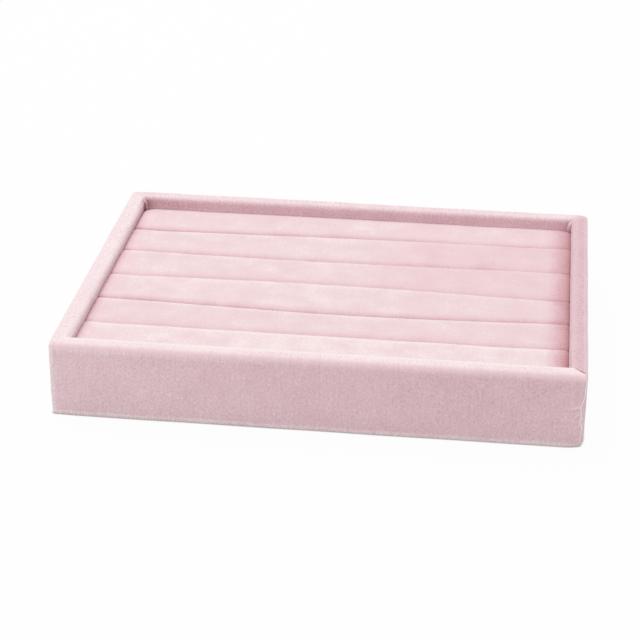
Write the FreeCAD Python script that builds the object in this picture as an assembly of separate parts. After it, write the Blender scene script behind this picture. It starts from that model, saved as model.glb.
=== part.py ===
"""Velvet ring tray: a wrapped board frame with a lift-out insert of velvet ring rolls.

Millimetres, +Z up. X runs along the rolls and -Y is the front. The origin is the centre of the
footprint, on the surface that the tray stands on.
"""

import FreeCAD, Part
import math
import os

# Overall size, over the velvet
tray_width = 200.0
tray_depth = 154.0
tray_height = 30.0

# Boards
wall_board = 5.0
base_board_thickness = 3.0
board_corner_radius = 1.6
board_edge_radius = 1.0

# Cloth of the tray
velvet = 1.0
turn_in = 12.0
seam_gap = 0.3
floor_lining_thickness = 0.8
lining_clearance = 0.2
felt = 0.8
felt_margin = 4.0
felt_slope_run = 5.0

# Brads that pin the boards
brad_diameter = 1.2
corner_brad_length = 16.0
base_brad_length = 14.0
corner_brad_height_shares = (0.28, 0.72)
base_brad_width_shares = (-0.4, 0.0, 0.4)
base_brad_depth_shares = (-0.3, 0.3)

# Ring insert
insert_end_gap = 1.0
insert_side_gap = 0.6
card = 1.5
roll_recess = 4.5
roll_slit = 0.4
roll_velvet = 0.8
roll_turn_in = 6.0
foam_crown = 0.7
foam_shoulder_radius = 2.4
foam_left_end_run = 1.2
foam_left_end_fall = 1.2
foam_right_end_run = 5.2
foam_right_end_fall = 2.8
foam_end_draw = 0.4
end_steps = 4
# Depths of the rolls from front to back, as shares of the depth that they fill
roll_depth_shares = (0.160, 0.1515, 0.182, 0.172, 0.183, 0.1515)

# How far a cut runs past what it cuts, and how close two points count as one
overrun = 1.0
same_place = 1e-6

# Levels, from the resting surface up
base_level = felt + velvet
floor_level = base_level + base_board_thickness
board_top = tray_height - velvet
card_level = floor_level + floor_lining_thickness
roll_level = card_level + card
roll_top = tray_height - roll_recess

# Sizes in plan
board_width = tray_width - 2 * velvet
board_depth = tray_depth - 2 * velvet
wall = wall_board + 2 * velvet
cavity_width = tray_width - 2 * wall
cavity_depth = tray_depth - 2 * wall
insert_width = cavity_width - 2 * insert_end_gap
insert_depth = cavity_depth - 2 * insert_side_gap

X_AXIS = FreeCAD.Vector(1, 0, 0)
Y_AXIS = FreeCAD.Vector(0, 1, 0)
Z_AXIS = FreeCAD.Vector(0, 0, 1)
ORIGIN = FreeCAD.Vector(0, 0, 0)


def corner(u, v):
    """A sharp corner of an outline."""
    return [(u, v)]


def arc(centre_u, centre_v, radius, start, end):
    """A round stretch of an outline, between two angles in degrees."""
    angles = [math.radians(angle) for angle in (start, (start + end) / 2, end)]
    return [(centre_u + radius * math.cos(a), centre_v + radius * math.sin(a)) for a in angles]


def outline_wire(stretches, point):
    """A closed wire through corners and arcs, joined by straight edges; point places u and v in space."""
    edges = []
    for index, stretch in enumerate(stretches):
        points = [point(u, v) for u, v in stretch]
        following = point(*stretches[(index + 1) % len(stretches)][0])
        if len(points) == 3:
            edges.append(Part.Arc(*points).toShape())
        if not points[-1].isEqual(following, same_place):
            edges.append(Part.LineSegment(points[-1], following).toShape())
    return Part.Wire(edges)


def bar(axis, length, stretches):
    """A solid centred on the origin along its axis, from an outline of corners and arcs.

    Along X the outline is in Y and Z, and along Y in X and Z. Along Z it is in X and Y, and the solid
    stands on the origin's level.
    """

    def point(u, v):
        if axis == X_AXIS:
            return FreeCAD.Vector(-length / 2, u, v)
        if axis == Y_AXIS:
            return FreeCAD.Vector(u, -length / 2, v)
        return FreeCAD.Vector(u, v, 0)

    return Part.Face(outline_wire(stretches, point)).extrude(axis * length)


def slab(width, depth, low, high):
    """A box centred on the origin in plan, from height low to height high."""
    start = FreeCAD.Vector(-width / 2, -depth / 2, low)
    return Part.makeBox(width, depth, high - low, start)


def rounded_slab(width, depth, low, high, radius):
    """A box with rounded upright corners."""
    u = width / 2 - radius
    v = depth / 2 - radius
    outline = [
        arc(u, v, radius, 0, 90),
        arc(-u, v, radius, 90, 180),
        arc(-u, -v, radius, 180, 270),
        arc(u, -v, radius, 270, 360),
    ]
    block = bar(Z_AXIS, high - low, outline)
    block.translate(Z_AXIS * low)
    return block


def arched_bar(axis, length, width, low, high, radius):
    """A bar with its two top edges rounded."""
    half = width / 2
    outline = [
        corner(-half, low),
        corner(half, low),
        arc(half - radius, high - radius, radius, 0, 90),
        arc(radius - half, high - radius, radius, 90, 180),
    ]
    return bar(axis, length, outline)


def flared_bar(axis, length, width, low, high, radius):
    """The space of a channel whose mouth flares over two rounded rims."""
    half = width / 2
    mouth = half + radius
    outline = [
        corner(-half, low),
        corner(half, low),
        arc(mouth, high - radius, radius, 180, 90),
        corner(mouth, high + overrun),
        corner(-mouth, high + overrun),
        arc(-mouth, high - radius, radius, 90, 0),
    ]
    return bar(axis, length, outline)


def rim_block(cover, low):
    """The outer form of the boards, with rounded corners and top edges, under a cover of cloth."""
    width = board_width + 2 * cover
    depth = board_depth + 2 * cover
    high = board_top + cover
    edge_radius = board_edge_radius + cover
    block = rounded_slab(width, depth, low, high, board_corner_radius + cover)
    block = block.common(arched_bar(X_AXIS, width, depth, low, high, edge_radius))
    return block.common(arched_bar(Y_AXIS, depth, width, low, high, edge_radius))


def rim_cavity(cover, low):
    """The space inside the boards, with its flared mouth, less a cover of cloth."""
    width = board_width - 2 * (wall_board + cover)
    depth = board_depth - 2 * (wall_board + cover)
    high = board_top + cover
    edge_radius = board_edge_radius + cover
    mouth = 2 * (edge_radius + overrun)
    cavity = flared_bar(X_AXIS, width + mouth, depth, low, high, edge_radius)
    return cavity.common(flared_bar(Y_AXIS, depth + mouth, width, low, high, edge_radius))


def brad(start, direction, length):
    """One headless brad, driven in from start."""
    return Part.makeCylinder(brad_diameter / 2, length, start, direction)


def make_corner_brads():
    """Brads through the front and back boards into the ends of the side boards."""
    side_x = (board_width - wall_board) / 2
    brads = []
    for facing in (-1, 1):
        for side in (-1, 1):
            for share in corner_brad_height_shares:
                level = floor_level + share * (board_top - floor_level)
                start = FreeCAD.Vector(side * side_x, facing * board_depth / 2, level)
                brads.append(brad(start, Y_AXIS * -facing, corner_brad_length))
    return Part.makeCompound(brads)


def make_base_brads():
    """Brads up through the base board into the four wall boards."""
    front_y = (board_depth - wall_board) / 2
    side_x = (board_width - wall_board) / 2
    brads = []
    for side in (-1, 1):
        for share in base_brad_width_shares:
            start = FreeCAD.Vector(share * board_width, side * front_y, base_level)
            brads.append(brad(start, Z_AXIS, base_brad_length))
        for share in base_brad_depth_shares:
            start = FreeCAD.Vector(side * side_x, share * board_depth, base_level)
            brads.append(brad(start, Z_AXIS, base_brad_length))
    return Part.makeCompound(brads)


def make_boards(brads):
    """The base board and the four butt-jointed wall boards, drilled for the brads."""
    frame = rim_block(0, floor_level).cut(rim_cavity(0, floor_level - overrun))
    front_y = (board_depth - wall_board) / 2
    side_x = (board_width - wall_board) / 2
    side_depth = board_depth - 2 * wall_board
    long_board = slab(board_width, wall_board, floor_level, board_top)
    side_board = slab(wall_board, side_depth, floor_level, board_top)
    boards = {
        "base_board": rounded_slab(board_width, board_depth, base_level, floor_level, board_corner_radius),
        "front_wall_board": frame.common(long_board.translated(Y_AXIS * -front_y)),
        "back_wall_board": frame.common(long_board.translated(Y_AXIS * front_y)),
        "left_wall_board": frame.common(side_board.translated(X_AXIS * -side_x)),
        "right_wall_board": frame.common(side_board.translated(X_AXIS * side_x)),
    }
    return {name: board.cut(brads) for name, board in boards.items()}


def make_wall_wrap():
    """One strip of velvet round all four walls: turned under, up, over the rim and down inside.

    Its two ends meet at a seam in the front right corner.
    """
    core = rim_block(0, base_level).cut(rim_cavity(0, floor_level))
    window_width = board_width - 2 * turn_in
    window_depth = board_depth - 2 * turn_in
    window = slab(window_width, window_depth, felt - overrun, base_level + overrun)
    wrap = rim_block(velvet, felt).cut(rim_cavity(velvet, floor_level))
    wrap = wrap.cut(core).cut(window)
    reach = 2 * (turn_in + wall)
    seam = slab(reach, seam_gap, 0, tray_height)
    seam.rotate(ORIGIN, Z_AXIS, -45)
    seam.translate(FreeCAD.Vector(cavity_width / 2, -cavity_depth / 2, 0))
    return wrap.cut(seam)


def tapered_slab(width, depth, low, high):
    """A block whose four sides slope in towards its top."""
    rectangles = []
    for slope_run, level in ((0, low), (felt_slope_run, high)):
        u = width / 2 - slope_run
        v = depth / 2 - slope_run
        points = [FreeCAD.Vector(x, y, level) for x, y in ((-u, -v), (u, -v), (u, v), (-u, v))]
        rectangles.append(Part.makePolygon(points + points[:1]))
    return Part.makeLoft(rectangles, True, True)


def make_underside_felt():
    """The felt under the tray: it laps over the turned-in velvet and rises to the board inside it."""
    width = tray_width - 2 * felt_margin
    depth = tray_depth - 2 * felt_margin
    inner_width = board_width - 2 * turn_in
    inner_depth = board_depth - 2 * turn_in
    raised = tapered_slab(inner_width, inner_depth, felt, base_level)
    hollow = tapered_slab(inner_width, inner_depth, 0, velvet)
    return slab(width, depth, 0, felt).fuse(raised).cut(hollow).removeSplitter()


def make_floor_lining():
    """The velvet sheet on the tray's floor, under the insert."""
    width = cavity_width - 2 * lining_clearance
    depth = cavity_depth - 2 * lining_clearance
    return slab(width, depth, floor_level, card_level)


def roll_rows():
    """The middle and the depth of each roll, from front to back."""
    cloth_depth = insert_depth - roll_slit * (len(roll_depth_shares) - 1)
    front = -insert_depth / 2
    rows = []
    for share in roll_depth_shares:
        depth = share * cloth_depth / sum(roll_depth_shares)
        rows.append((front + depth / 2, depth))
        front += depth + roll_slit
    return rows


def crowned_outline(width, low, high, crown, radius):
    """The outline of a roll's section: flat below, with a crown that runs into rounded shoulders."""
    half = width / 2
    crown_radius = (half**2 + crown**2) / (2 * crown)
    centre = high - crown_radius
    shoulder = centre + math.sqrt((crown_radius - radius) ** 2 - (half - radius) ** 2)
    steep = math.degrees(math.atan2(shoulder - centre, half - radius))
    return [
        corner(-half, low),
        corner(half, low),
        arc(half - radius, shoulder, radius, 0, steep),
        arc(0, centre, crown_radius, steep, 180 - steep),
        arc(radius - half, shoulder, radius, 180 - steep, 180),
    ]


def roll_section(x, width, low, high, radius):
    """One section of a roll, across it at x."""
    return outline_wire(
        crowned_outline(width, low, high, foam_crown, radius), lambda u, v: FreeCAD.Vector(x, u, v)
    )


def roll_form(depth, cover):
    """The form of a roll's foam under a cover of cloth: crowned, with drawn-in ends that round down.

    The right ends round down further than the left ones.
    """
    inset = roll_velvet - cover
    half = insert_width / 2 - inset
    low = roll_level + inset
    high = roll_top - inset
    radius = foam_shoulder_radius + cover
    left_end = (-1, foam_left_end_run, foam_left_end_fall)
    right_end = (1, foam_right_end_run, foam_right_end_fall)
    stations = []
    for side, run, fall in (left_end, right_end):
        for step in range(end_steps + 1):
            angle = math.radians(90 * step / end_steps)
            drop_share = 1 - math.sin(angle)
            x = side * (half - (run + cover) * (1 - math.cos(angle)))
            width = depth - 2 * (inset + foam_end_draw * drop_share)
            stations.append((x, width, high - (fall + cover) * drop_share))
    sections = [roll_section(x, width, low, top, radius) for x, width, top in sorted(stations)]
    return Part.makeLoft(sections, True, True)


def make_roll(middle, depth):
    """A foam core and the velvet sleeve that is drawn over it and turned in underneath."""
    foot_width = insert_width - 2 * roll_turn_in
    foot_depth = depth - 2 * roll_turn_in
    foot = slab(foot_width, foot_depth, roll_level, roll_level + 2 * roll_velvet)
    foam = roll_form(depth, 0).fuse(foot).removeSplitter()
    sleeve = roll_form(depth, roll_velvet).cut(foam)
    return [piece.translated(Y_AXIS * middle) for piece in (foam, sleeve)]


def make_pieces():
    """Every piece of the tray, by its name."""
    corner_brads = make_corner_brads()
    base_brads = make_base_brads()
    pieces = make_boards(Part.makeCompound([corner_brads, base_brads]))
    pieces["corner_brads"] = corner_brads
    pieces["base_brads"] = base_brads
    pieces["wall_velvet_wrap"] = make_wall_wrap()
    pieces["underside_felt"] = make_underside_felt()
    pieces["floor_lining"] = make_floor_lining()
    pieces["insert_card"] = slab(insert_width, insert_depth, card_level, roll_level)
    for number, (middle, depth) in enumerate(roll_rows(), start=1):
        foam, sleeve = make_roll(middle, depth)
        pieces[f"roll_foam_{number}"] = foam
        pieces[f"roll_velvet_{number}"] = sleeve
    return pieces


def main():
    """Writes one file for each piece."""
    os.makedirs("parts", exist_ok=True)
    for name, shape in make_pieces().items():
        print(f"{name}: {len(shape.Solids)} solids, {shape.Volume:.0f} mm3, valid {shape.isValid()}")
        shape.exportStep(f"parts/{name}.step")


main()
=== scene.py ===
"""Looks of the velvet ring tray, in metres: +Z is up, the front is -Y, the rolls run along X."""

import math

import bpy
import numpy as np
from mathutils import Matrix, Vector, noise


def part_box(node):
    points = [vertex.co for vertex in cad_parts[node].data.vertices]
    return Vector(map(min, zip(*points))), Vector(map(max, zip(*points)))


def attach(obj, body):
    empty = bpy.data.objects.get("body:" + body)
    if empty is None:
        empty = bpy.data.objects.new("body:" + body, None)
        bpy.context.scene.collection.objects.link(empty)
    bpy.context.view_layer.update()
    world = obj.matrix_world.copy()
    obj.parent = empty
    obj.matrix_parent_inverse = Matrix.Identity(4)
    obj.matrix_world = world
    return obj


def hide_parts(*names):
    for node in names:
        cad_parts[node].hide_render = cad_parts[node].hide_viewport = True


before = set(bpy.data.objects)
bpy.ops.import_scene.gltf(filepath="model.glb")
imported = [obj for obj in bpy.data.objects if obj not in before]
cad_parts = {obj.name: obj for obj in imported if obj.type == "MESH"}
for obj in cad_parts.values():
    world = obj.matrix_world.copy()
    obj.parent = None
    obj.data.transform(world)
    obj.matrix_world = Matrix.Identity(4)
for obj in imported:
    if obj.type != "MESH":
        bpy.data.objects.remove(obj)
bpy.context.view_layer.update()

MM = 0.001


def mm(*values):
    """Millimetre values in metres."""
    return tuple(value * MM for value in values)


# The wrap, from the frame and a few cloth sizes
WRAP_LOW, WRAP_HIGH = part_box("wall_velvet_wrap")
FRONT_BOARD_LOW, FRONT_BOARD_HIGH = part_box("front_wall_board")
BOARDS = ["front_wall_board", "back_wall_board", "left_wall_board", "right_wall_board", "base_board"]
CLOTH = FRONT_BOARD_LOW.y - WRAP_LOW.y
WALL = FRONT_BOARD_HIGH.y - FRONT_BOARD_LOW.y + 2 * CLOTH
FOOT_LEVEL = WRAP_LOW.z
FLOOR_LEVEL = FRONT_BOARD_LOW.z
TOP = WRAP_HIGH.z
HALF_WIDTH = WRAP_HIGH.x
HALF_DEPTH = WRAP_HIGH.y
GLUE_GAP = 0.05 * MM
OUTER_RIM_RADIUS = 1.8 * MM
INNER_RIM_RADIUS = 1.6 * MM
PLAN_RADIUS = 1.5 * MM
INNER_PLAN_RADIUS = 0.5 * MM
FOOT_RADIUS = 0.5 * MM
FOOT_SAG = 0.77 * MM
TABLE_GAP = 0.02 * MM
TURN_IN = 13.0 * MM
LEAST_BACK_RADIUS = 0.15 * MM

# How finely the wrap is divided; a block of columns is a corner and the side after it
CORNER_COLUMNS = 28
SIDE_COLUMNS = 90
BLOCK = CORNER_COLUMNS + SIDE_COLUMNS
COLUMNS = 4 * BLOCK
INNER_ROWS = 16
ROUND_ROWS = 8
CREST_ROWS = 4
OUTER_ROWS = 48
FOOT_ROWS = 5
UNDER_ROWS = 5

# The corners in the order of the columns, and each column's side, numbered as the corner before it
FRONT_RIGHT, BACK_RIGHT, BACK_LEFT, FRONT_LEFT = range(4)
LEFT_SIDE = BACK_LEFT
COLUMN_SIDES = (np.arange(COLUMNS) - CORNER_COLUMNS // 2) % COLUMNS // BLOCK

# By side (right, back, left, front): the pile's stand-off, its rise, its full outer edge, its thin inside
PILE_SIDES = mm(0.16, 0.12, 0.30, 0.12)
PILE_RISES = mm(0.25, 0.50, 0.25, 0.05)
RIM_FULLNESS = mm(0.20, 0.35, 0.08, 0.0)
INNER_THINNING = mm(0.46, 0.30, 0.76, 0.30)

# By corner: how far the sides blend, and how much softer the rim's outer and inner edges are
CORNER_BLENDS = mm(0.4, 5.0, 2.0, 4.0)
CORNER_SOFTENINGS = mm(0.15, 0.40, 0.0, 0.45)
CORNER_SOFT_REACH = 2.2 * MM
INNER_SOFTENINGS = mm(0.5, 0.0, 0.35, 0.5)
INNER_SOFT_REACH = 6.0 * MM

# The pile's soft waves (height, wavelength, seed), and the share of them that the inner walls lose
PILE_WAVES = ((0.16 * MM, 24 * MM, 1), (0.07 * MM, 8 * MM, 2))
INNER_CALM = 0.75

# The dip in the back rim, from its right end, and the full top of the left inner wall
BACK_DIP = 0.22 * MM
BACK_DIP_START = mm(0, 8)
BACK_DIP_END = mm(50, 110)
LEFT_EDGE_FULLNESS = 0.65 * MM
LEFT_EDGE_FADE = mm(0.5, 3.0)
LEFT_EDGE_RUN = mm(2, 22)

# A hump's values are its middle, width and height, and a decay's are its run and height

# The seam in the front right corner: each height, and how far it stands there from the corner's middle
SEAM_LINE = (
    mm(1.0, -0.90),
    mm(4.0, -0.85),
    mm(6.5, -0.50),
    mm(8.4, -0.40),
    mm(10.6, -1.05),
    mm(12.9, -1.00),
    mm(16.0, -1.20),
    mm(22.2, -0.05),
    mm(26.7, 0.10),
    mm(29.0, 0.0),
)
SEAM_LINE_DEPTHS = mm(0, 2)
SEAM_SPREAD = 6.0 * MM
SEAM_LIP = mm(2.6, 0.45)
SEAM_VALLEY = mm(0.7, 0.14)
SEAM_RIM_LOSS = 0.85
SEAM_RIM_END = 1.5 * MM
SEAM_FOOT_FADE = mm(0, 6)

# The wrinkles that run down from the seam: height at the seam, length, fall over that length
WRINKLES = (mm(17.5, 5.2, 2.2), mm(15.0, 2.6, 2.4))
WRINKLE = 0.35 * MM
WRINKLE_WIDTH = 0.45 * MM
WRINKLE_START = (0.0, 0.15)
WRINKLE_END = (0.6, 1.0)

# The other corners' creases, and the depths from the outer face over which a crease takes its rim form
MITRE_CREASE = mm(0, 0.35, 0.12)
CREASE_START = mm(0.4, 1.5)

# The pleats inside: corner, fold, place at the rim, lean, then their lines' spread, painted shade and
# painted highlight
PLEATS = (
    (BACK_RIGHT, 1.0 * MM, 0.0, 0.10, 1.1 * MM, 0.25, 0.22),
    (BACK_LEFT, 0.5 * MM, 0.20 * MM, -0.12, 0.75 * MM, 0.42, 0.40),
)
PLEAT_WIDTH = 0.65 * MM
PLEAT_START = mm(0, 2.5)
PLEAT_END = mm(6, 10)
PLEAT_SHINE_WIDTH = 0.6
PLEAT_SHADE_WIDTH = 0.5
PLEAT_TONE_START = mm(0, 0.8)

# How corners are drawn in at the foot: corner, draw, the height it ends at, its reach round the corner
CORNER_TAPERS = (
    (FRONT_RIGHT, *mm(0.25, 60.0, 5.0)),
    (FRONT_RIGHT, *mm(2.80, 2.6, 3.2)),
    (BACK_RIGHT, *mm(0.75, 20.0, 5.0)),
    (BACK_LEFT, *mm(0.75, 20.0, 5.0)),
    (FRONT_LEFT, *mm(0.40, 14.0, 5.0)),
)
TAPER_DEPTHS = mm(0, 4.5)
PRESSED_DEPTHS = mm(1, 2.9)

# By side (right, back, left, front): how light the pile looks with painted light and shade in it, 0 for
# deep to 1 for light, and its fades
# Rim and outer faces: the pile's lay by side with its sheen painted in; the rim's top is partly painted
# light
RIM_TONES = (0.51, 0.85, 0.92, 0.93)
OUTER_TONES = (0.68, 0.60, 0.62, 0.64)
# Inner walls: painted shade under the rim, painted sheen on the left one; gap tones: painted shade beside
# the rolls
INNER_TONES = (0.50, 0.56, 0.88, 0.60)
GAP_TONES = (0.34, 0.82, 0.72, 0.30)
GAP_STARTS = mm(3.2, 3.2, 4.2, 3.2)
# Where the rim's tone fades into the inner walls' painted shade
FADE_STARTS = mm(2.6, 0.4, 3.7, 2.4)
FADE_ENDS = mm(5.0, 5.0, 6.2, 5.0)
# Painted sheen along the rim's outer and inner edges
EDGE_SHINES = (0.25, 0.0, 0.05, 0.05)
INNER_EDGE_SHINES = (0.10, 0.0, 0.0, 0.16)

# Other tones of the wrap, most of them painted highlights and painted shade, with where each starts and
# ends
GAP_FADE = 1.4 * MM
# Where the rim's lighter tone fades, and where the painted sheen and highlight sit on its edges
RIM_FADES = (mm(0.3, 1.3), mm(1.2, 4.4))
EDGE_PLACE = mm(0.8, 0.8)
INNER_EDGE_PLACE = (WALL / 2 - 1.8 * MM, 1.2 * MM)
FRONT_RIM_DROP = 0.5 * MM
FRONT_RIM_RUN = mm(90, 130)
FRONT_DRIFT = 0.085
FRONT_DRIFT_END = 1.4 * HALF_WIDTH
FRONT_FALL = 0.08
FRONT_RIGHT_SHADE = 0.03
FRONT_RIGHT_HEIGHTS = mm(8, 20)
FRONT_RIGHT_RUN = mm(120, 165)
BACK_DRIFT = (*mm(12, 8), 0.07)
# A painted highlight along the seam's folded edge, painted shade beside it, and a painted shadow in the
# mitre's crease
SEAM_SHINE = (*mm(-0.2, 0.25), 0.75)
SEAM_SHADE = (*mm(0.35, 0.45), 0.02)
SEAM_HEIGHTS = mm(0.5, 3.0)
MITRE_SHADE = (*mm(0.3, 0.5), 0.9)
MITRE_START = mm(0.5, 1.5)
MITRE_END = 0.75 * WALL
# Painted shade in the back left inner corner, on the back wall and down the left one
CORNER_SHADE = (1.4 * MM, 0.75)
BACK_LEFT_SHADE = (3.5 * MM, 0.58)
BACK_LEFT_WIDE_SHADE = (*mm(14, 9), 0.14)
LEFT_BACK_SHADE = (14 * MM, 0.50)
LEFT_BACK_DROP = mm(1.0, 3.5)
# Painted sheen down the front's left edge, painted light and shade on the wrinkles, and a painted
# highlight along the foot
LEFT_EDGE_SHINE = (*mm(0, 1.3), 0.32)
WRINKLE_SHINE = 0.30
WRINKLE_SHADE = 0.20
FOOT_SHINE = 0.24
FOOT_SHINE_DEPTH = 2 * MM
FOOT_SHINE_FADE = mm(0.3, 1.6)

# Along the rim's outer edge the pile parts: where, how far by side, and how much ribs and pink show there
PARTING_PLACE = mm(1.2, 1.1)
EDGE_PARTINGS = (0.15, 0.5, 0.5, 1.0)
EDGE_RIBS = 0.16
EDGE_BLUSH = 0.75

# The rolls
ROLL_COUNT = 6
ROLL_CLOTH = 0.75 * MM
FOAM_INSET = 1.0 * MM
ROLL_RISE = 0.75 * MM
ROLL_CROWN = 0.6 * MM
START_CROWN = 0.25 * MM
CORE_CROWN = 0.30 * MM
CROWN_HEIGHTS = (0.5, 0.85)
FRONT_SHOULDER = 2.95 * MM
BACK_SHOULDER = 1.95 * MM
CREASE_DEPTH = 0.7 * MM
OUTER_CREASE_DEPTH = 0.45 * MM
SLIT_GAP = 0.12 * MM
OUTER_SPREAD = 0.50 * MM
ROLL_FOOT = 1.2 * MM
LEAST_FOOT = 0.3 * MM
ROLL_TURN_IN = 6.0 * MM
WINDOW_LIP = 0.2 * MM
WINDOW_END = 86.0 * MM
PLUG_END = 82.0 * MM
LEFT_END_RUN = 2.0 * MM
LEFT_END_FALL = 1.0 * MM
RIGHT_END_RUN = 2.6 * MM
RIGHT_END_FALL = 0.9 * MM
RIGHT_END_BULGE = 1.20 * MM
LEFT_END_BULGES = mm(1.35, 1.35, 1.35, 1.35, 1.3, 1.1)
END_DRAW = 0.1 * MM
LEFT_CORNER_DRAW = 2.3 * MM
RIGHT_CORNER_DRAW = 1.4 * MM
FRONT_CORNER_SHARE = 0.45
CORNER_DRAW_REACH = 4.6 * MM
ROLL_WAVES = ((0.12 * MM, 20 * MM, 0), (0.05 * MM, 7 * MM, 9))
ROLL_WAVE_HEIGHTS = mm(18, 23)
SHARP_ANGLE = math.radians(60)

# How finely a roll is divided, along it and round its section
LEFT_END_STEPS = 8
RIGHT_END_STEPS = 14
ROLL_STEP = 2.2 * MM
PLUG_STEPS = 2
TURN_IN_STEPS = 3
FOOT_STEPS = 4
FACE_STEPS = 6
SHOULDER_STEPS = 10
CROWN_STEPS = 14
WINDOW_PLACES = PLUG_STEPS + 1
FOOT_PLACES = WINDOW_PLACES + TURN_IN_STEPS + FOOT_STEPS

# How the sleeves swell: the foam's push, the frames it has, and the cap on each point's move in X, Y and Z
SWELL_PRESSURE = 0.5
SWELL_FRAMES = 20
SWELL_MASS = 0.01
SWELL_QUALITY = 4
SWELL_CAPS = mm(0.04, 0.04, 0.38)
HELD_BELOW = 23.5 * MM
FREE_ABOVE = 25.2 * MM

# How far each slit wanders from its CAD line at these shares of its half length
BEND_PLACES = (-1.0, -0.5, 0.0, 0.5, 1.0)
SLIT_BENDS = (
    mm(0.7, 0.15, -0.15, -0.2, 0.05),
    mm(1.9, 0.0, -1.6, -0.5, 1.7),
    mm(-0.2, 0.8, 1.1, -0.55, -2.5),
    mm(0.6, -0.2, -0.5, 0.6, 0.9),
    mm(-1.9, -1.3, 0.2, 0.9, 1.4),
)
SLIT_WAVER = 0.15 * MM
SLIT_WAVER_LENGTH = 18.0 * MM

# The rolls' pile, front to back: its tone, and how deep or light it is along its edges and at its ends,
# much of it painted light and shade
ROLL_TONES = (0.90, 0.81, 0.83, 0.82, 0.82, 0.81)
LEFT_HALF_DEPTHS = (0.04, 0.03, 0.0, 0.0, 0.0, 0.0)
RIGHT_HALF_DEPTHS = (0.03, 0.02, 0.04, 0.13, 0.15, 0.03)
# Painted shade down each roll's front edge into the slit, partly where the pile parts there
LEFT_FRONT_DEPTHS = (0.20, 0.19, 0.55, 0.31, 0.38, 0.58)
RIGHT_FRONT_DEPTHS = (0.20, 0.27, 0.47, 0.15, 0.17, 0.28)
# A painted highlight along each roll's back edge, where the pile catches the light
BACK_SHINES = (0.26, 0.23, 0.15, 0.16, 0.15, -0.04)
# Painted shade towards the right ends beside the wall, partly the pile turning down there
RIGHT_END_REACHES = mm(8.4, 10.2, 9.8, 8.8, 8.8, 11.0)
RIGHT_END_TONE = 0.07
# Painted shade at the left ends in the gap by the wall
LEFT_END_DEPTH = 0.32
LEFT_END_REACH = 4.0 * MM

# Where these start and end: along the roll, back from its front and down from its top
LEFT_HALF = mm(0, 60)
RIGHT_HALF = mm(-5, 45)
FRONT_CHANGE = mm(-70, 70)
FRONT_PARTING_AND_SHADE = mm(0, 4.4)
FRONT_PARTING_AND_SHADE_DROP = mm(0.4, 1.4)
BACK_HIGHLIGHT_DROP = mm(0.1, 0.6)

# The sheets: their divisions in X and Y, and the felt's thickness and how far in it slopes up
LINING_CELLS = (60, 44)
FELT_CELLS = (96, 74)
FELT = 0.8 * MM
FELT_FLAT_EDGE = 11 * MM
FELT_SLOPE = 5 * MM
SHEET_TONE = 0.5

# The floor's half size, the share of it that glows to the camera, and how far the painted contact shade
# reaches
FLOOR_HALF = 12.0
FLOOR_GLOW = 0.95
CONTACT_REACH = 0.9 * MM

# The lights: place, size and level
KEY_LIGHT = ((-0.35, 0.55, 1.5), 1.4, 0.50)
FILL_LIGHT = ((0.2, -1.6, 1.0), 1.2, 0.12)
AMBIENT_LEVEL = 0.57

# The camera, fitted to the photo's edges
CAMERA_LENS = 110.65
CAMERA_SENSOR = 36.0
CAMERA_PLACE = (0.0778, -0.7195, 0.3520)
CAMERA_YAW = math.radians(-6.7214)
CAMERA_PITCH = math.radians(25.3155)
CAMERA_ROLL = math.radians(0.5047)


def smooth_step(low, high, value):
    """0 below low, 1 above high and a smooth rise between them."""
    share = np.clip((value - low) / (high - low), 0.0, 1.0)
    return share * share * (3.0 - 2.0 * share)


def hump(value, middle, width, height=1.0):
    """A bell curve."""
    return height * np.exp(-((value - middle) / width) ** 2)


def decay(distance, run, height):
    """A height that dies away with distance."""
    return height * np.exp(-distance / run)


def soft_noise(points, waves, first_seed=0):
    """The sum of smooth noises at each point, from (height, wavelength, seed) rows."""
    total = np.zeros(len(points))
    for height, wavelength, seed in waves:
        seed += first_seed
        shift = Vector((seed * 7.3, seed * 3.1, seed * 5.7))
        total += height * np.array([noise.noise(Vector(point) / wavelength + shift) for point in points])
    return total


def stretch(start, end, steps):
    """Even points from start towards end, without the end."""
    start = np.array(start)
    end = np.array(end)
    return [start + (end - start) * step / steps for step in range(steps)]


def arc(centre, radius, first, last, steps):
    """Points on an arc from the first angle towards the last, in degrees, without the last."""
    points = []
    for step in range(steps):
        angle = math.radians(first + (last - first) * step / steps)
        points.append(np.array(centre) + radius * np.array((math.cos(angle), math.sin(angle))))
    return points


def step_lengths(points):
    """The distance from each point of a line to the next."""
    return np.linalg.norm(np.diff(points, axis=0), axis=1)


def run_lengths(points):
    """The distance along a line of points to each of them."""
    return np.concatenate(([0.0], np.cumsum(step_lengths(points))))


def quad(width, row, next_row, column, next_column):
    """A face between two rows and two columns of a grid of points."""
    return (
        row * width + column,
        next_row * width + column,
        next_row * width + next_column,
        row * width + next_column,
    )


def add_piece(name, points, faces, material):
    """A smooth-shaded mesh object with one material."""
    mesh = bpy.data.meshes.new(name)
    mesh.from_pydata([tuple(point) for point in points], [], faces)
    mesh.update()
    mesh.shade_smooth()
    mesh.materials.append(material)
    piece = bpy.data.objects.new(name, mesh)
    bpy.context.collection.objects.link(piece)
    return piece


def set_cloth_uv(piece, corners):
    """The cloth's own coordinates in metres, one pair for each face corner."""
    layer = piece.data.uv_layers.new(name="cloth")
    layer.data.foreach_set("uv", np.asarray(corners, dtype=float).ravel())


def set_values(piece, name, values):
    """One number for each point, which the material reads by name; the pile tone holds how light the pile
    looks, painted light and shade included.
    """
    attribute = piece.data.attributes.new(name, "FLOAT", "POINT")
    attribute.data.foreach_set("value", np.asarray(values, dtype=float).ravel())


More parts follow.
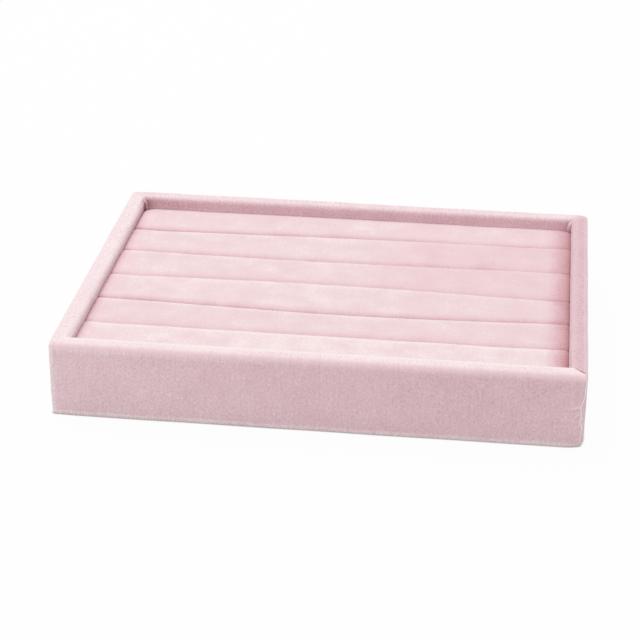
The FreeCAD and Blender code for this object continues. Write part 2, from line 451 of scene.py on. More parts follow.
def colour(red, green, blue):
    """A colour written as 8-bit screen values, as the linear one that a shader takes."""
    parts = []
    for value in (red, green, blue):
        share = value / 255
        parts.append(share / 12.92 if share <= 0.04045 else ((share + 0.055) / 1.055) ** 2.4)
    return (*parts, 1.0)


def new_material(name):
    """A material with its shader, which is wired to its output."""
    material = bpy.data.materials.new(name)
    material.use_nodes = True
    tree = material.node_tree
    return material, tree, tree.nodes["Principled BSDF"]


def set_inputs(tree, node, inputs):
    """Give a node's inputs plain values or other nodes' outputs."""
    for key, value in inputs.items():
        if isinstance(value, bpy.types.NodeSocket):
            tree.links.new(value, node.inputs[key])
        else:
            node.inputs[key].default_value = value


def add_node(tree, kind, inputs=None, **settings):
    """A shader node with its settings and inputs."""
    made = tree.nodes.new(kind)
    for key, value in settings.items():
        setattr(made, key, value)
    set_inputs(tree, made, inputs or {})
    return made


def add_math(tree, operation, *values):
    """One step of arithmetic on plain values or other nodes' outputs."""
    return add_node(tree, "ShaderNodeMath", dict(enumerate(values)), operation=operation).outputs[0]


def add_scaled(tree, value, factor, offset):
    """value times factor plus offset."""
    return add_math(tree, "MULTIPLY_ADD", value, factor, offset)


def add_ramp(tree, factor, stops):
    """A colour ramp through (place, colour) stops."""
    ramp = add_node(tree, "ShaderNodeValToRGB", {"Fac": factor})
    elements = ramp.color_ramp.elements
    while len(elements) < len(stops):
        elements.new(0.5)
    for element, (place, value) in zip(elements, stops):
        element.position = place
        element.color = value
    return ramp.outputs["Color"]


def add_noise(tree, vector, scale, detail=2.0, roughness=0.5):
    """Smooth noise from 0 to 1; scale is in cells to the metre."""
    inputs = {"Vector": vector, "Scale": scale, "Detail": detail, "Roughness": roughness}
    return add_node(tree, "ShaderNodeTexNoise", inputs).outputs["Fac"]


def add_cloth_noise(tree, cells, detail):
    """Smooth noise in the cloth's coordinates, with its own cells to the metre along and across."""
    cloth = add_node(tree, "ShaderNodeUVMap", uv_map="cloth").outputs["UV"]
    place = add_node(tree, "ShaderNodeVectorMath", {0: cloth, 1: (*cells, 1.0)}, operation="MULTIPLY")
    return add_noise(tree, place.outputs[0], 1.0, detail)


def add_bump(tree, height, strength, distance):
    """A bump from a height."""
    inputs = {"Height": height, "Strength": strength, "Distance": distance}
    return add_node(tree, "ShaderNodeBump", inputs).outputs["Normal"]


def object_place(tree):
    """The object's own coordinates."""
    return add_node(tree, "ShaderNodeTexCoord").outputs["Object"]


def point_value(tree, name):
    """A number that set_values gave to the piece's points."""
    return add_node(tree, "ShaderNodeAttribute", attribute_name=name).outputs["Fac"]


def velvet(name, stops, dash_amount, mottle_amount):
    """Short-pile velvet: broken ribs, stronger where the pile parts along an edge, mottled patches and a
    sheen.
    """
    material, tree, shader = new_material(name)
    place = object_place(tree)
    edge = point_value(tree, "edge")
    dashes = add_cloth_noise(tree, (2300.0, 760.0), 1.0)
    ribs = add_cloth_noise(tree, (950.0, 110.0), 0.0)
    grain = add_noise(tree, place, 1300.0, 1.0, 0.6)
    mottle = add_noise(tree, place, 75.0, 3.0, 0.6)
    # The point tone holds the pile's own tone with painted light and painted shade in it
    tone = add_scaled(tree, mottle, mottle_amount, point_value(tree, "pile_and_painted_light"))
    tone = add_scaled(tree, dashes, dash_amount, tone)
    tone = add_scaled(tree, grain, dash_amount, tone)
    rib_swing = add_scaled(tree, ribs, 1.0, -0.5)
    rib_amount = add_scaled(tree, edge, EDGE_RIBS, dash_amount * 0.3)
    tone = add_scaled(tree, rib_swing, rib_amount, tone)
    tone = add_math(tree, "SUBTRACT", tone, (mottle_amount + 2 * dash_amount) / 2)
    blush = {
        "Factor": add_scaled(tree, edge, EDGE_BLUSH, 0.0),
        "A": add_ramp(tree, tone, stops),
        "B": colour(255, 222, 227),
    }
    height = add_scaled(tree, dashes, 0.7, grain)
    set_inputs(tree, shader, {
        "Base Color": add_node(tree, "ShaderNodeMix", blush, data_type="RGBA").outputs["Result"],
        "Normal": add_bump(tree, height, 0.35, 0.15 * MM),
        "Roughness": 0.9,
        "Specular IOR Level": 0.1,
        "Sheen Weight": 0.9,
        "Sheen Roughness": 0.3,
        "Sheen Tint": (1.0, 0.92, 0.92, 1.0),
    })
    return material


def felt_cloth():
    """Pressed felt: matted fibres in a greyed pink."""
    material, tree, shader = new_material("matted_felt")
    place = object_place(tree)
    fibres = add_noise(tree, place, 700.0, 6.0, 0.75)
    clumps = add_noise(tree, place, 120.0, 3.0)
    stops = ((0.45, colour(196, 170, 174)), (0.95, colour(226, 206, 209)))
    set_inputs(tree, shader, {
        "Base Color": add_ramp(tree, add_scaled(tree, clumps, 0.4, fibres), stops),
        "Normal": add_bump(tree, fibres, 0.5, 0.3 * MM),
        "Roughness": 0.95,
        "Sheen Weight": 0.15,
    })
    return material


def open_foam():
    """Soft foam: off-white with fine open cells."""
    material, tree, shader = new_material("open_cell_foam")
    inputs = {"Vector": object_place(tree), "Scale": 900.0}
    cells = add_node(tree, "ShaderNodeTexVoronoi", inputs).outputs["Distance"]
    stops = ((0.05, colour(243, 241, 234)), (0.7, colour(205, 201, 190)))
    set_inputs(tree, shader, {
        "Base Color": add_ramp(tree, cells, stops),
        "Normal": add_bump(tree, cells, 0.6, 0.4 * MM),
        "Roughness": 0.9,
    })
    return material


def fibre_board():
    """Medium fibreboard: fine pressed fibres with darker specks."""
    material, tree, shader = new_material("fibreboard")
    place = object_place(tree)
    fibres = add_noise(tree, place, 900.0, 6.0, 0.7)
    specks = add_noise(tree, place, 260.0, 2.0)
    stops = ((0.45, colour(150, 116, 84)), (0.7, colour(188, 153, 116)), (1.0, colour(212, 182, 146)))
    set_inputs(tree, shader, {
        "Base Color": add_ramp(tree, add_scaled(tree, specks, 0.5, fibres), stops),
        "Normal": add_bump(tree, fibres, 0.3, 0.1 * MM),
        "Roughness": 0.8,
    })
    return material


def grey_card():
    """Recycled grey card with light and dark specks."""
    material, tree, shader = new_material("grey_card")
    pulp = add_noise(tree, object_place(tree), 500.0, 5.0, 0.7)
    stops = ((0.3, colour(120, 114, 106)), (0.5, colour(168, 162, 153)), (0.75, colour(196, 191, 183)))
    set_inputs(tree, shader, {
        "Base Color": add_ramp(tree, pulp, stops),
        "Normal": add_bump(tree, pulp, 0.25, 0.08 * MM),
        "Roughness": 0.85,
    })
    return material


def drawn_steel():
    """Drawn wire with fine scratches."""
    material, tree, shader = new_material("drawn_steel")
    scratches = add_noise(tree, object_place(tree), 2500.0, 4.0, 0.7)
    stops = ((0.3, colour(188, 188, 190)), (0.7, colour(214, 214, 215)))
    set_inputs(tree, shader, {
        "Base Color": add_ramp(tree, scratches, stops),
        "Roughness": add_scaled(tree, scratches, 0.3, 0.2),
        "Metallic": 1.0,
    })
    return material


def rounded_loop(half_x, half_y, radius):
    """Plan points round a rectangle with rounded corners, from the front right one back to its start."""
    corners = ((1, -1), (1, 1), (-1, 1), (-1, -1))
    side_shares = [(1 - math.cos(math.pi * step / SIDE_COLUMNS)) / 2 for step in range(SIDE_COLUMNS)]
    reach = np.array((half_x - radius, half_y - radius))
    points = []
    for index, signs in enumerate(corners):
        centre = reach * signs
        next_centre = reach * corners[(index + 1) % 4]
        first = 90 * index - 90
        points += arc(centre, radius, first, first + 90, CORNER_COLUMNS)
        outward = np.array((math.cos(math.radians(first + 90)), math.sin(math.radians(first + 90))))
        points += [centre + radius * outward + (next_centre - centre) * share for share in side_shares]
    return np.array(points + points[:1])


def along_loop(loop, runs, wanted):
    """Points of a closed loop at the wanted distances along it."""
    wanted = np.mod(wanted, runs[-1])
    return np.column_stack([np.interp(wanted, runs, loop[:, axis]) for axis in (0, 1)])


def corner_gaps(runs):
    """Each point's signed distance along the loop from the middle of each corner's arc."""
    length = runs[-1]
    middles = runs[CORNER_COLUMNS // 2:COLUMNS:BLOCK]
    return [np.mod(runs[:-1] - middle + length / 2, length) - length / 2 for middle in middles]


def wrap_section(cover):
    """The wrap's section, cover inside its pile, as depths from the outer face and heights."""
    crest = TOP - cover
    inside = WALL - cover
    inner = INNER_RIM_RADIUS if cover == 0 else LEAST_BACK_RADIUS
    outer = max(OUTER_RIM_RADIUS - cover, LEAST_BACK_RADIUS)
    foot = max(FOOT_RADIUS - cover, LEAST_BACK_RADIUS)
    under = FOOT_LEVEL + cover
    section = stretch((inside, FLOOR_LEVEL + GLUE_GAP), (inside, crest - inner), INNER_ROWS)
    section += arc((inside - inner, crest - inner), inner, 0, 90, ROUND_ROWS)
    section += stretch((inside - inner, crest), (cover + outer, crest), CREST_ROWS)
    section += arc((cover + outer, crest - outer), outer, 90, 180, ROUND_ROWS)
    section += stretch((cover, crest - outer), (cover, under + foot), OUTER_ROWS)
    section += arc((cover + foot, under + foot), foot, 180, 270, FOOT_ROWS)
    section += stretch((cover + foot, under), (TURN_IN, under), UNDER_ROWS)
    section.append(np.array((TURN_IN, under)))
    return np.array(section)


def seam_shift(depth, height):
    """How far the seam stands from the corner's middle: wavy outside, on the mitre over the rim."""
    outside = 1 - smooth_step(*SEAM_LINE_DEPTHS, depth)
    for (low, before), (high, after) in zip(SEAM_LINE, SEAM_LINE[1:]):
        if height <= high:
            return (before + (after - before) * smooth_step(low, high, height)) * outside
    return 0.0


def wrap_rows(section):
    """Each row's points round the tray, with its distances from the four corners."""
    rows = []
    gaps_by_row = []
    for depth, height in section:
        radius = max(PLAN_RADIUS - depth, INNER_PLAN_RADIUS)
        loop = rounded_loop(HALF_WIDTH - depth, HALF_DEPTH - depth, radius)
        runs = run_lengths(loop)
        gaps = corner_gaps(runs)
        slide = seam_shift(depth, height) * hump(gaps[FRONT_RIGHT], 0.0, SEAM_SPREAD)
        plan = along_loop(loop, runs, runs[:-1] + slide)
        rows.append(np.column_stack((plan, np.full(COLUMNS, height))))
        gaps_by_row.append(gaps)
    return np.array(rows), np.array(gaps_by_row)


def side_values(table, gaps):
    """A value for each column from a table by side, blended softly round each corner."""
    values = np.array(table)[COLUMN_SIDES]
    for corner, reach in enumerate(CORNER_BLENDS):
        before = table[corner - 1]
        after = table[corner]
        share = smooth_step(-reach, reach, gaps[corner])
        near = np.abs(gaps[corner]) < reach
        values[near] = (before + (after - before) * share)[near]
    return values


def plan_outward(row):
    """The level direction out of the tray at each point of a row."""
    along = np.roll(row, -1, axis=0) - np.roll(row, 1, axis=0)
    outward = np.column_stack((along[:, 1], -along[:, 0], np.zeros(len(row))))
    return outward / np.linalg.norm(outward, axis=1, keepdims=True)


def grid_normals(rows):
    """Outward normals of a grid of rows whose columns close round the tray."""
    along = np.roll(rows, -1, axis=1) - np.roll(rows, 1, axis=1)
    across = np.gradient(rows, axis=0)
    normals = np.cross(across, along)
    return normals / np.linalg.norm(normals, axis=2, keepdims=True)


def inside_share(depth, height):
    """0 on the rim and outside it, 1 on the inner walls."""
    return smooth_step(WALL - INNER_RIM_RADIUS, WALL, depth) * (height > FLOOR_LEVEL)


def stand_off(height, gaps):
    """How far the pile stands off the walls, and off the rim with its dip behind."""
    from_right = gaps[BACK_RIGHT]
    dip = smooth_step(*BACK_DIP_START, from_right) * (1 - smooth_step(*BACK_DIP_END, from_right))
    side = side_values(PILE_SIDES, gaps)
    rise = side_values(PILE_RISES, gaps) - BACK_DIP * dip
    return side + (rise - side) * smooth_step(TOP - OUTER_RIM_RADIUS, TOP, height)


def rim_bend(aside, up):
    """0 where a rounded edge starts and ends, 1 in mid-bend, for a point aside of and above its centre."""
    return math.sin(2 * math.atan2(up, aside)) ** 2


def rim_relief(depth, height, gaps):
    """The full outer edge of the rim, and both of its edges softer at the corners."""
    relief = np.zeros(COLUMNS)
    if depth < OUTER_RIM_RADIUS and height > TOP - OUTER_RIM_RADIUS:
        bend = rim_bend(OUTER_RIM_RADIUS - depth, height - TOP + OUTER_RIM_RADIUS)
        relief += bend * side_values(RIM_FULLNESS, gaps)
        for gap, softening in zip(gaps, CORNER_SOFTENINGS):
            relief -= bend * hump(gap, 0.0, CORNER_SOFT_REACH, softening)
    if depth > WALL - INNER_RIM_RADIUS and height > TOP - INNER_RIM_RADIUS:
        bend = rim_bend(depth - WALL + INNER_RIM_RADIUS, height - TOP + INNER_RIM_RADIUS)
        for gap, softening in zip(gaps, INNER_SOFTENINGS):
            relief -= bend * hump(gap, 0.0, INNER_SOFT_REACH, softening)
    return relief


def inner_relief(depth, height, gaps):
    """The thin cloth on the inner walls, fuller along the top of the left one."""
    fullness = LEFT_EDGE_FULLNESS * (1 - smooth_step(*LEFT_EDGE_FADE, TOP - height))
    on_left = smooth_step(*LEFT_EDGE_RUN, gaps[BACK_LEFT]) * (COLUMN_SIDES == LEFT_SIDE)
    return inside_share(depth, height) * (fullness * on_left - side_values(INNER_THINNING, gaps))


def wrinkle_pattern(seam_gap, height, drop=0.0):
    """The wrinkles beside the seam: 1 along each one's ridge, or a drop below it, fading at its ends."""
    pattern = np.zeros(COLUMNS)
    for start, length, fall in WRINKLES:
        away = -seam_gap / length
        ridge = start - fall * away - drop
        fade = smooth_step(*WRINKLE_START, away) * (1 - smooth_step(*WRINKLE_END, away))
        pattern += hump(height, ridge, WRINKLE_WIDTH) * fade
    return pattern


def crease_relief(depth, height, gaps):
    """The seam's lip, the valley after it and its wrinkles, and the other corners' creases."""
    seam_gap = gaps[FRONT_RIGHT]
    on_pile = 1 - smooth_step(WALL - SEAM_RIM_END, WALL, depth)
    over_rim = smooth_step(*CREASE_START, depth) * on_pile
    lip = decay(np.abs(seam_gap), *SEAM_LIP) * (1 - SEAM_RIM_LOSS * over_rim)
    valley = decay(np.abs(seam_gap), *SEAM_VALLEY)
    relief = np.where(seam_gap < 0, lip, -valley) * on_pile * smooth_step(*SEAM_FOOT_FADE, height)
    for corner in (BACK_RIGHT, BACK_LEFT, FRONT_LEFT):
        relief -= over_rim * hump(gaps[corner], *MITRE_CREASE)
    if depth == 0.0:
        relief += WRINKLE * wrinkle_pattern(seam_gap, height)
    return relief


def wrap_relief(rows, gaps, section):
    """How far the pile stands off its plain form; under the base it is pressed flat."""
    relief = soft_noise(rows.reshape(-1, 3), PILE_WAVES).reshape(rows.shape[:2])
    for row, (depth, height) in enumerate(section):
        relief[row] *= 1 - INNER_CALM * inside_share(depth, height)
        relief[row] += stand_off(height, gaps[row])
        for form in (rim_relief, inner_relief, crease_relief):
            relief[row] += form(depth, height, gaps[row])
        if height < FLOOR_LEVEL:
            relief[row] -= (relief[row] + GLUE_GAP) * smooth_step(*PRESSED_DEPTHS, depth)
    return relief


def settle_foot(rows, gaps, section):
    """The cloth sags to the table at the foot, and is drawn in there at the corners."""
    for row, (depth, height) in enumerate(section):
        outside = 1 - smooth_step(*TAPER_DEPTHS, depth)
        if outside > 0.0:
            outward = plan_outward(rows[row])
            for corner, taper, top, reach in CORNER_TAPERS:
                low_share = outside * max(0.0, 1 - height / top) ** 2
                middle = -seam_shift(depth, height) if corner == FRONT_RIGHT else 0.0
                drawn = taper * low_share * hump(gaps[row, corner], middle, reach)
                rows[row] -= drawn[:, None] * outward
        if height < FLOOR_LEVEL:
            foot_share = 1 - smooth_step(FOOT_LEVEL, FOOT_LEVEL + FOOT_RADIUS, height)
            rows[row, :, 2] -= FOOT_SAG * foot_share * (1 - smooth_step(*PRESSED_DEPTHS, depth))
    rows[:, :, 2] = np.maximum(rows[:, :, 2], TABLE_GAP)


def add_pleats(rows, gaps, section):
    """Folds of spare cloth in the two back inner corners, pushed out towards the middle of the tray."""
    for corner, fold, start, lean, *_ in PLEATS:
        inward = np.array((-1.0 if corner == BACK_RIGHT else 1.0, -1.0, 0.0))
        for row, (depth, height) in enumerate(section):
            below = TOP - height
            share = smooth_step(*PLEAT_START, below) - smooth_step(*PLEAT_END, below)
            ridge = hump(gaps[row, corner], start + lean * below, PLEAT_WIDTH)
            rows[row] += fold * inside_share(depth, height) * share * ridge[:, None] * inward


def pleat_tones(gaps, below):
    """Painted shade beside each pleat, a painted highlight along it, and painted shade in the back left
    corner.
    """
    tones = np.zeros(COLUMNS)
    for corner, _, start, lean, spread, shade, shine in PLEATS:
        away = gaps[corner] - (start + lean * below)
        tones += hump(away, 0.0, PLEAT_SHINE_WIDTH * spread, shine)
        for side in (-spread, spread):
            tones -= hump(away, side, PLEAT_SHADE_WIDTH * spread, shade)
    # Painted shade in the back left corner, on the back wall and down the left one
    from_corner = np.abs(gaps[BACK_LEFT])
    back_shade = decay(from_corner, *BACK_LEFT_SHADE) + hump(from_corner, *BACK_LEFT_WIDE_SHADE)
    low_share = smooth_step(*LEFT_BACK_DROP, below)
    left_shade = decay(from_corner, *CORNER_SHADE) + decay(from_corner, *LEFT_BACK_SHADE) * low_share
    return tones - np.where(gaps[BACK_LEFT] < 0, back_shade, left_shade)


def rim_tones(gaps):
    """The rim's tone by side, the pile's lay with its sheen painted in, lighter near the back one's right
    end.
    """
    return side_values(RIM_TONES, gaps) + hump(gaps[BACK_RIGHT], *BACK_DRIFT)


def face_tones(gaps, height):
    """How the outer faces' tone drifts, with painted sheen down the left edge and painted light and shade
    on the wrinkles by the seam.
    """
    from_left = gaps[FRONT_LEFT]
    tones = FRONT_DRIFT * (1 - smooth_step(0.0, FRONT_DRIFT_END, from_left)) * (from_left > 0)
    tones += FRONT_FALL * (0.5 - height / TOP)
    high_share = smooth_step(*FRONT_RIGHT_HEIGHTS, height)
    tones -= FRONT_RIGHT_SHADE * high_share * smooth_step(*FRONT_RIGHT_RUN, from_left)
    # Painted sheen down the left edge
    tones += (0.5 + 0.5 * height / TOP) * hump(from_left, *LEFT_EDGE_SHINE)
    # A painted highlight on each wrinkle's ridge and painted shade below it
    tones += WRINKLE_SHINE * wrinkle_pattern(gaps[FRONT_RIGHT], height)
    return tones - WRINKLE_SHADE * wrinkle_pattern(gaps[FRONT_RIGHT], height, 2 * WRINKLE_WIDTH)


def outer_tones(depth, height, gaps):
    """The pile's lay with painted light on the outer half of a row: the rim's lighter tone, partly painted
    light, fades into the wall's below its edge.
    """
    below = TOP - height
    from_left = gaps[FRONT_LEFT]
    lower = FRONT_RIM_DROP * (1 - smooth_step(*FRONT_RIM_RUN, from_left)) * (from_left > 0)
    fade = sum(1 - smooth_step(start, end, below - lower) for start, end in RIM_FADES) / len(RIM_FADES)
    outer = side_values(OUTER_TONES, gaps)
    tones = outer + (rim_tones(gaps) - outer) * fade
    # Painted sheen along the rim's outer edge
    if depth < OUTER_RIM_RADIUS:
        tones += side_values(EDGE_SHINES, gaps) * hump(below, *EDGE_PLACE)
    if depth == 0.0:
        tones += face_tones(gaps, height)
    # A painted highlight along the rounded foot
    if depth < FOOT_SHINE_DEPTH and height < FLOOR_LEVEL:
        tones += FOOT_SHINE * (1 - smooth_step(*FOOT_SHINE_FADE, height - FOOT_LEVEL))
    return tones


def inner_tones(depth, height, gaps):
    """The inner half of a row: the rim's tone with a painted highlight at its edge, fading into painted
    shade down to the gap beside the rolls.
    """
    below = TOP - height
    reach = depth - WALL / 2 + below
    rim = rim_tones(gaps)
    # A painted highlight along the rim's inner edge
    shine = side_values(INNER_EDGE_SHINES, gaps) * hump(reach, *INNER_EDGE_PLACE)
    # The rim's tone fades into the inner wall's, which holds painted shade and, on the left, painted sheen
    fade = smooth_step(side_values(FADE_STARTS, gaps), side_values(FADE_ENDS, gaps), reach)
    tones = rim + shine + (side_values(INNER_TONES, gaps) - rim) * fade
    # Painted shade in the gap beside the rolls
    gap_start = side_values(GAP_STARTS, gaps)
    deep = smooth_step(gap_start, gap_start + GAP_FADE, below)
    tones += (side_values(GAP_TONES, gaps) - tones) * deep
    # Painted light and shade at the pleats and in the back left corner
    return tones + pleat_tones(gaps, below) * smooth_step(*PLEAT_TONE_START, below)


def seam_tones(depth, height, seam_gap):
    """A painted highlight along the seam with painted shade beside it, and a painted shadow in the mitre's
    crease over the rim.
    """
    over_rim = smooth_step(*MITRE_START, depth)
    on_face = (1 - over_rim) * smooth_step(*SEAM_HEIGHTS, height)
    mitre = over_rim * max(0.0, 1 - depth / MITRE_END)
    line = hump(seam_gap, *SEAM_SHINE) - hump(seam_gap, *SEAM_SHADE)
    return on_face * line - mitre * hump(seam_gap, *MITRE_SHADE)


def wrap_pile_and_painted_light(gaps, section):
    """The pile's lay with painted light and shade: light in front and on the left, deeper on the right,
    painted shade deepest in those two gaps.
    """
    tones = []
    for row, (depth, height) in enumerate(section):
        row_tones = inner_tones if depth > WALL / 2 and height > FLOOR_LEVEL else outer_tones
        tones.append(row_tones(depth, height, gaps[row]))
        # Painted light and shade along the seam and in the mitre's crease
        if depth < WALL - INNER_RIM_RADIUS and height > FOOT_RADIUS:
            tones[-1] += seam_tones(depth, height, gaps[row, FRONT_RIGHT])
    return np.array(tones)


def wrap_partings(gaps, section):
    """How far the pile parts at each point: only along the rim's outer edge."""
    on_edge = hump(TOP - section[:, 1], *PARTING_PLACE) * (section[:, 0] < OUTER_RIM_RADIUS)
    return np.array([share * side_values(EDGE_PARTINGS, gaps[row]) for row, share in enumerate(on_edge)])


def wrap_faces(along, across):
    """The wrap's faces, closed round the tray and round its section, and their cloth coordinates."""
    faces = []
    corners = []
    for row in range(len(across)):
        next_row = (row + 1) % len(across)
        for column in range(COLUMNS):
            faces.append(quad(COLUMNS, row, next_row, column, (column + 1) % COLUMNS))
            for step, line in ((0, row), (0, next_row), (1, next_row), (1, row)):
                corners.append((along[column + step], across[line]))
    return faces, corners


def make_wrap(material):
    """One strip of velvet round the walls, a closed ring with a pile side and a glued side."""
    pile = wrap_section(0.0)
    pile_rows, gaps = wrap_rows(pile)
    relief = wrap_relief(pile_rows, gaps, pile)
    pile_rows = pile_rows + grid_normals(pile_rows) * relief[:, :, None]
    settle_foot(pile_rows, gaps, pile)
    add_pleats(pile_rows, gaps, pile)
    back_rows, _ = wrap_rows(wrap_section(CLOTH - GLUE_GAP))
    rows = np.concatenate((pile_rows, back_rows[::-1]))
    outline = rounded_loop(HALF_WIDTH, HALF_DEPTH, PLAN_RADIUS)
    across = run_lengths(pile)
    faces, corners = wrap_faces(run_lengths(outline), np.concatenate((across, across[::-1])))
    wrap = add_piece("velvet_wrap", rows.reshape(-1, 3), faces, material)
    set_cloth_uv(wrap, corners)
    for name, values in (("pile_and_painted_light", wrap_pile_and_painted_light(gaps, pile)), ("edge", wrap_partings(gaps, pile))):
        set_values(wrap, name, np.concatenate((values, values[::-1])))
    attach(wrap, "tray")
    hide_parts("wall_velvet_wrap")


def slit_lines():
    """The Y of the front edge, the five slits and the back edge as functions of X."""
    boxes = [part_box(f"roll_velvet_{number}") for number in range(1, ROLL_COUNT + 1)]
    half_length = boxes[0][1].x

    def bent(level, bend, seed):
        curve = np.polyfit(BEND_PLACES, bend, len(bend) - 1)

        def line(x):
            waver = SLIT_WAVER * noise.noise(Vector((x / SLIT_WAVER_LENGTH, seed * 4.7, 0.5)))
            return level + np.polyval(curve, x / half_length) + waver
        return line

    lines = [lambda x: boxes[0][0].y]
    for number, bend in enumerate(SLIT_BENDS):
        level = (boxes[number][1].y + boxes[number + 1][0].y) / 2
        lines.append(bent(level, bend, number))
    lines.append(lambda x: boxes[-1][1].y)
    return lines


def end_places(run, steps):
    """Places on a rounded end, as distances in from its tip, and the share of its fall at each."""
    angles = [math.pi / 2 * step / steps for step in range(steps + 1)]
    return [(run * (1 - math.cos(angle)), 1 - math.sin(angle)) for angle in angles]


def roll_stations(low, high):
    """Places along a roll with the share of its end fall: (x, left share, right share)."""
    first = low + LEFT_END_RUN
    last = high - RIGHT_END_RUN
    count = round((last - first) / ROLL_STEP)
    left = end_places(LEFT_END_RUN, LEFT_END_STEPS)[:-1]
    right = end_places(RIGHT_END_RUN, RIGHT_END_STEPS)[::-1]
    stations = [(low + inward, share, 0.0) for inward, share in left]
    stations += [(first + (last - first) * step / count, 0.0, 0.0) for step in range(count)]
    return stations + [(high - inward, 0.0, share) for inward, share in right]


def roll_side(half, flat, inset, foot_drop, shoulder, crease_depth):
    """One side of a roll's section, from the middle of its foot out and up to the edge of its crown."""
    run = math.sqrt(2 * shoulder * crease_depth - crease_depth ** 2) - inset
    radius = shoulder - inset
    turn = math.degrees(math.asin(run / radius))
    crease = flat - radius + radius * math.cos(math.radians(turn))
    foot = max(ROLL_FOOT - inset, LEAST_FOOT)
    window = half - ROLL_TURN_IN + inset
    plug = window - WINDOW_LIP
    side = stretch((0.0, -foot_drop), (plug, -foot_drop), PLUG_STEPS)
    side.append(np.array((plug, -foot_drop)))
    side += stretch((window, 0.0), (half - foot, 0.0), TURN_IN_STEPS)
    side += arc((half - foot, foot), foot, -90, 0, FOOT_STEPS)
    side += stretch((half, foot), (half, crease), FACE_STEPS)
    side += arc((half - run, flat - radius), radius, 90 - turn, 90, SHOULDER_STEPS)
    side.append(np.array((half - run, flat)))
    return np.array(side)


def roll_section(half, height, inset, foot_drop, crown, front_depth, back_depth):
    """A roll's section as (across, up) from the middle of its foot, forwards, over the top and back."""
    flat = height - ROLL_CROWN
    front = roll_side(half, flat, inset, foot_drop, FRONT_SHOULDER, front_depth) * (-1, 1)
    back = roll_side(half, flat, inset, foot_drop, BACK_SHOULDER, back_depth)
    loop = np.concatenate((front[:-1], stretch(front[-1], back[-1], CROWN_STEPS), back[:0:-1]))
    low, high = (flat * share for share in CROWN_HEIGHTS)
    swell = crown * (1 - (loop[:, 0] / half) ** 2)
    loop[:, 1] += swell * smooth_step(low, high, loop[:, 1])
    return loop


def roll_grid(number, lines, inset, foot_drop, crown):
    """A roll's points, station by station, and the stations."""
    low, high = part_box(f"roll_velvet_{number}")
    stations = roll_stations(low.x - LEFT_END_BULGES[number - 1] + inset, high.x + RIGHT_END_BULGE - inset)
    front_depth = OUTER_CREASE_DEPTH if number == 1 else CREASE_DEPTH
    back_depth = OUTER_CREASE_DEPTH if number == ROLL_COUNT else CREASE_DEPTH
    foot_level = low.z + inset
    rows = []
    for x, left, right in stations:
        from_end = min(x - stations[0][0], stations[-1][0] - x)
        corner_draw = LEFT_CORNER_DRAW if x < 0 else RIGHT_CORNER_DRAW
        corner_draw *= 1 - smooth_step(0.0, CORNER_DRAW_REACH, from_end)
        slit_gap = SLIT_GAP / 2 + END_DRAW * (left + right)
        front_gap = FRONT_CORNER_SHARE * corner_draw - OUTER_SPREAD if number == 1 else slit_gap
        back_gap = corner_draw - OUTER_SPREAD if number == ROLL_COUNT else slit_gap
        front_y = lines[number - 1](x) + front_gap + inset
        back_y = lines[number](x) - back_gap - inset
        half = (back_y - front_y) / 2
        fall = LEFT_END_FALL * left + RIGHT_END_FALL * right
        height = high.z + ROLL_RISE - inset - foot_level - fall
        drop = foot_drop if abs(x) < PLUG_END else 0.0
        loop = roll_section(half, height, inset, drop, crown, front_depth, back_depth)
        middle = (front_y + back_y) / 2
        rows.append(np.column_stack((np.full(len(loop), x), middle + loop[:, 0], foot_level + loop[:, 1])))
    return np.array(rows), stations


def cap_faces(loop_count):
    """A roll's end: a fan of triangles from each side of its foot, and a ladder from there to its top."""
    front = FOOT_PLACES
    back = loop_count - FOOT_PLACES
    faces = [[0, front, back]]
    for place in range(front - 1):
        faces.append([place, place + 1, front])
        faces.append([back, loop_count - place - 1, (loop_count - place) % loop_count])
    for place in range(front, loop_count // 2):
        near = loop_count - place - 1
        faces.append([place, place + 1, near, near + 1] if near > place + 1 else [place, near, near + 1])
    return faces


def roll_faces(station_count, loop_count, window_rows, first_open, last_open):
    """Quads along a roll and a cap on each end, with no faces in the window under it."""
    faces = []
    for station in range(station_count - 1):
        for place in range(loop_count):
            if place in window_rows and first_open <= station < last_open:
                continue
            faces.append(quad(loop_count, station, station + 1, place, (place + 1) % loop_count))
    last = (station_count - 1) * loop_count
    for cap in cap_faces(loop_count):
        faces.append(cap)
        faces.append([last + place for place in reversed(cap)])
    return faces


def roll_uv(faces, rows):
    """Cloth coordinates of a roll: along X and round its section, in metres."""
    station_count, loop_count = rows.shape[:2]
    middle = rows[station_count // 2]
    round_it = run_lengths(np.vstack((middle, middle[:1])))
    corners = []
    for face in faces:
        places = [index % loop_count for index in face]
        wraps = max(places) - min(places) == loop_count - 1
        for index, place in zip(face, places):
            station = index // loop_count
            corners.append((rows[station, 0, 0], round_it[loop_count if wraps and place == 0 else place]))
    return corners


